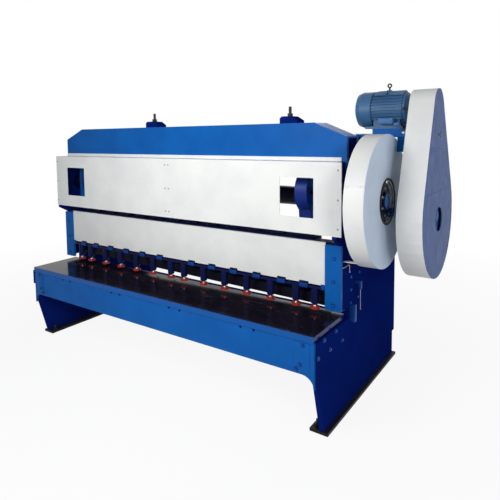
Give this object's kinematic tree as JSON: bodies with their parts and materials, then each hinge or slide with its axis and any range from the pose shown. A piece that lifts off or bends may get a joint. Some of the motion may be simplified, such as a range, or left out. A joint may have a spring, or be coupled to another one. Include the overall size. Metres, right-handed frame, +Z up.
{
  "type": "mechanical guillotine shearing machine",
  "caption": "Motor-driven guillotine shear for sheet metal: overhead crankshaft, hold-down row over a long table, front covers, and round and teardrop drive guards at one end.",
  "frame": {"origin": "on the floor, at the middle of the four anchor bolts in the foot plates", "axes": "+X along the table towards the drive guards, +Y from the table's front edge to the back, +Z up"},
  "size_m": [4.189, 1.848, 2.669],
  "materials": {
    "blue_paint": "satin enamel",
    "navy_paint": "satin enamel",
    "dark_paint": "satin enamel",
    "white_paint": "smooth enamel",
    "guard_paint": "smooth enamel",
    "belt_guard_paint": "smooth enamel",
    "table_steel": "ground and oiled, glossy",
    "blade_steel": "ground",
    "crank_steel": "turned and oiled",
    "rod_chrome": "polished",
    "hub_steel": "turned",
    "pad_red": "moulded",
    "stud_black": "blackened",
    "motor_paint": "semi-gloss enamel",
    "box_paint": "semi-gloss enamel",
    "belt_rubber": "moulded",
    "wheel_iron": "painted"
  },
  "bodies": {
    "machine": {"left_side_frame": "navy_paint", "right_side_frame": "navy_paint", "left_foot_plate": "dark_paint", "right_foot_plate": "dark_paint", "table_top": "table_steel", "apron": "blue_paint", "bed_beam": "navy_paint", "rear_tie": "navy_paint", "lower_blade": "blade_steel", "crown_front_plate": "blue_paint", "crown_back_plate": "blue_paint", "crown_top_plate": "blue_paint", "left_bearing_web": "blue_paint", "right_bearing_web": "blue_paint", "left_cover": "white_paint", "right_cover": "white_paint", "cover_top_strip": "white_paint", "lower_panel": "white_paint", "left_front_strip": "blue_paint", "right_front_strip": "blue_paint", "hold_down_beam": "navy_paint", "hold_down_cylinders": "navy_paint", "ram_guides": "navy_paint", "crankshaft": "crank_steel", "left_pitman": "navy_paint", "right_pitman": "navy_paint", "left_bearing": "navy_paint", "right_bearing": "navy_paint", "balance_blocks": "navy_paint", "balance_studs": "stud_black", "round_guard_rim": "white_paint", "round_guard_face": "guard_paint", "round_guard_straps": "white_paint", "clutch_hub": "hub_steel", "belt_guard_rim": "white_paint", "belt_guard_face": "belt_guard_paint", "belt_guard_back": "white_paint", "belt_guard_posts": "navy_paint", "shaft_bearing": "navy_paint", "drive_belts": "belt_rubber", "motor_body": "motor_paint", "fan_cowl": "motor_paint", "end_shield": "motor_paint", "terminal_box": "box_paint", "lifting_eye": "stud_black", "motor_base": "blue_paint", "motor_shelf": "blue_paint", "side_bracket": "navy_paint"},
    "ram": {"ram_beam": "navy_paint", "upper_blade": "blade_steel"},
    "hold_downs": {"hold_down_rods": "rod_chrome", "hold_down_pads": "pad_red"},
    "flywheel": {"flywheel": "wheel_iron"},
    "motor_pulley": {"motor_pulley": "crank_steel"}
  },
  "joints": [
    {"name": "ram_stroke", "type": "slide", "parent": "machine", "child": "ram", "axis": [0, 0, -1], "range_m": [0, 0.1]},
    {"name": "hold_down_stroke", "type": "slide", "parent": "machine", "child": "hold_downs", "axis": [0, 0, -1], "range_m": [0, 0.02]},
    {"name": "flywheel_spin", "type": "hinge", "parent": "machine", "child": "flywheel", "pos_m": [2.25, 0.0325, 1.59], "axis": [1, 0, 0], "continuous": true},
    {"name": "pulley_spin", "type": "hinge", "parent": "machine", "child": "motor_pulley", "pos_m": [2.25, 0.0325, 2.455], "axis": [1, 0, 0], "continuous": true}
  ],
  "couplings": [
    {"joint": "pulley_spin", "follows": "flywheel_spin", "ratio": 5.8333}
  ]
}
